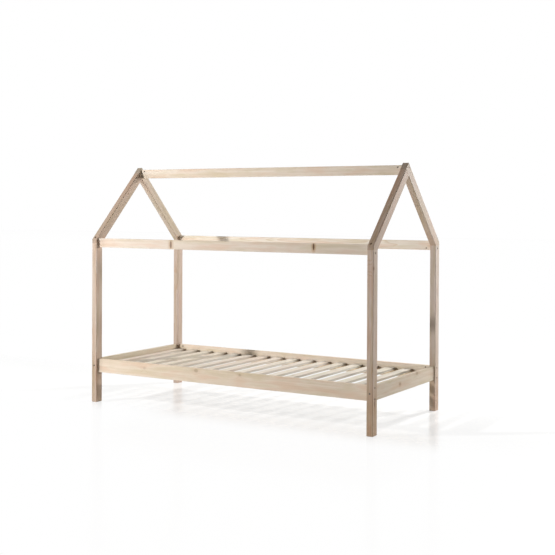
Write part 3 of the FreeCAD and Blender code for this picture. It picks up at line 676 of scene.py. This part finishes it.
@dataclass
class BedBase(SubAssembly):
    """Slats and the battens that carry them."""

    # One slat in three has a sound pale knot.  In order: how far it may lie from the slat's middle along
    # and across, its half-axis across, how much longer it is along the grain, its half-axis through the
    # slat, how dark it is, and the seed of these draws.
    knotty: ClassVar[int] = 3
    knot_place: ClassVar[Pair] = (0.4, 0.025)
    knot_radius: ClassVar[Pair] = (0.005, 0.009)
    knot_length: ClassVar[float] = 1.4
    knot_through: ClassVar[float] = 0.06
    knot_dark: ClassVar[float] = 0.35
    seed: ClassVar[int] = 17

    ledger_colour: str = "#DDCBB0"
    slat_colours: tuple[str, ...] = (
        "#DCD2C7", "#D4CBC0", "#DDD6CA", "#DDD4C8", "#D8D1C6", "#DBD2C8", "#DAD1C6", "#DFD7CD",
        "#E2DCD3", "#DDD6CD", "#DFD9D0", "#DCD6CC", "#DDD8CE", "#DBD6CC", "#D8D3C9", "#D6D1C7",
        "#D3CEC4")

    def build(self) -> None:
        """Dresses the battens and the slats.

        Slats are picked for a plain face, and their sides get painted shade.
        """
        for end in ("front", "back"):
            self.colours[f"slat_ledger_{end}"] = self.ledger_colour
            self.dress(f"slat_ledger_{end}", Grain.ALONG_BED)
        self.pine = SandedPine(latewood="#F5EEE5", band="#F7F2EB", rosy="#FCF4EF", olive="#F7F6EE")
        # Painted shade on the slats' sides, which look along X, standing in for the shade of the slat
        # beside each.
        self.shaded_faces = (1.0, 0.0, 0.0)
        chance = np.random.default_rng(self.seed)
        far_along, far_across = self.knot_place
        for number, colour in enumerate(self.slat_colours, start=1):
            slat = f"slat_{number:02d}"
            self.colours[slat] = colour
            place = (chance.uniform(-far_along, far_along), chance.uniform(-far_across, far_across), 0.0)
            radius = chance.uniform(*self.knot_radius)
            if number % self.knotty == 0:
                reach = (self.knot_length * radius, radius, self.knot_through)
                self.knots[slat] = (Knot(place, reach, self.knot_dark),)
            self.dress(slat, Grain.ACROSS_BED)


@dataclass
class Fasteners:
    """Bolts, barrel nuts, screws and dowels."""

    nodes: dict[str, bpy.types.Object]

    def build(self) -> None:
        """Plates the steel and dresses the dowels."""
        grey = PlatedSteel().material("zinc_plated_steel")
        yellow = PlatedSteel(shade="#B8A06A", shadow="#7D6B3F").material("yellow_zinc_plated_steel")
        beech = TurnedBeech().material("beech_dowel")
        finishes = {"bolts": grey, "nuts": grey, "screws": yellow, "dowels": beech}
        for name, node in self.nodes.items():
            finish = finishes.get(name.rpartition("_")[2])
            if finish:
                node.data.materials.clear()
                node.data.materials.append(finish)
                log.info("%s: %s", name, finish.name)


# --- Studio ------------------------------------------------------------------------------------------

@dataclass(frozen=True)
class Lamp:
    """A round white lamp: its place, how wide and how strong it is, and what it points at.

    Lengths are in metres, the power in watts.
    """

    name: str
    place: Point
    size: float
    power: float
    target: Point = (0.0, 0.0, 0.7)

    def build(self) -> None:
        """Adds the lamp to the scene."""
        data = bpy.data.lights.new(self.name, "AREA")
        data.shape = "DISK"
        data.size = self.size
        data.energy = self.power
        lamp = bpy.data.objects.new(self.name, data)
        bpy.context.scene.collection.objects.link(lamp)
        aim = np.subtract(self.target, self.place)
        lamp.location = self.place
        level = math.hypot(aim[0], aim[1])
        lamp.rotation_euler = (math.atan2(level, -aim[2]), 0.0, math.atan2(-aim[0], aim[1]))


@dataclass(frozen=True)
class ViewCamera:
    """The photograph's camera, as found from the straight edges of the bed.

    Angles are in degrees, the focal length and the picture's centre in pixels, the sensor in mm.
    """

    place: Point = (3.6891, -6.0597, 1.3084)
    yaw: float = 31.560
    pitch: float = -0.602
    roll: float = 0.2327
    focal: float = 1075.788
    centre: Pair = (258.508, 218.852)
    sensor: float = 36.0
    sees_to: float = 200.0

    def build(self) -> None:
        """Adds the camera and makes it the scene's own."""
        data = bpy.data.cameras.new("camera")
        data.sensor_width = self.sensor
        data.lens = self.focal * self.sensor / IMAGE_SIZE
        data.shift_x = (IMAGE_SIZE / 2 - self.centre[0]) / IMAGE_SIZE
        data.shift_y = (self.centre[1] - IMAGE_SIZE / 2) / IMAGE_SIZE
        data.clip_end = self.sees_to
        camera = bpy.data.objects.new("camera", data)
        bpy.context.scene.collection.objects.link(camera)
        aim = Euler((math.radians(90 + self.pitch), 0.0, math.radians(self.yaw)))
        roll = Matrix.Rotation(math.radians(self.roll), 4, "Z")
        camera.matrix_world = Matrix.Translation(self.place) @ aim.to_matrix().to_4x4() @ roll
        bpy.context.scene.camera = camera


@dataclass
class Studio:
    """Floor, white surroundings, lamps and camera."""

    floor: GlossyFloor = field(default_factory=GlossyFloor)
    # The floor reaches this far each way, in metres, and is a grid of this many lines each way.
    half_floor: float = 40.0
    floor_lines: int = 9
    lamps: tuple[Lamp, ...] = (
        Lamp("key", (-3.32, -3.77, 2.94), 0.25, 255.0),
        Lamp("left_fill", (-5.55, -2.02, 1.74), 2.5, 128.0),
        Lamp("rim_high", (1.56, 3.67, 3.00), 0.5, 155.0),
        Lamp("rim_right", (3.29, 3.07, 1.66), 0.5, 92.0),
        Lamp("rim_low", (1.76, 4.14, 1.66), 0.5, 60.0),
    )

    def build(self) -> None:
        """Adds the floor, the surroundings, the lamps and the camera."""
        self._floor()
        self._surroundings()
        for lamp in self.lamps:
            lamp.build()
        ViewCamera().build()

    def _floor(self) -> None:
        """Lays the floor: a level grid of squares, x and y each the same run of numbers."""
        steps = np.linspace(-self.half_floor, self.half_floor, self.floor_lines)
        across, along = np.meshgrid(steps, steps)
        points = np.stack((across.ravel(), along.ravel(), np.zeros(across.size)), axis=1)
        row = len(steps)
        corner = (np.arange(row - 1)[:, None] * row + np.arange(row - 1)).ravel()
        faces = np.stack((corner, corner + 1, corner + row + 1, corner + row), axis=1)
        mesh = bpy.data.meshes.new("studio_floor")
        mesh.from_pydata(points.tolist(), [], faces.tolist())
        mesh.materials.append(self.floor.material("white_lacquered_floor"))
        floor = bpy.data.objects.new("studio_floor", mesh)
        bpy.context.scene.collection.objects.link(floor)

    def _surroundings(self) -> None:
        """Makes the surroundings show white; the lamps alone light the bed."""
        world = bpy.data.worlds.new("studio")
        world.use_nodes = True
        tree = world.node_tree
        tree.nodes.clear()
        light = add(tree, "Background", {"Color": WHITE, "Strength": shown_rays(tree)})
        add(tree, "OutputWorld", {"Surface": light.outputs[0]})
        bpy.context.scene.world = world


def main() -> None:
    """Loads the model, dresses it and builds the studio."""
    logging.basicConfig(level=logging.INFO, format="%(name)s: %(message)s")
    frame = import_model()
    nodes = frame["nodes"]
    Frame(nodes).build()
    Roof(nodes).build()
    BedBase(nodes).build()
    Fasteners(nodes).build()
    Studio().build()
    bpy.context.scene.view_settings.view_transform = "Standard"


if __name__ == "__main__":
    main()
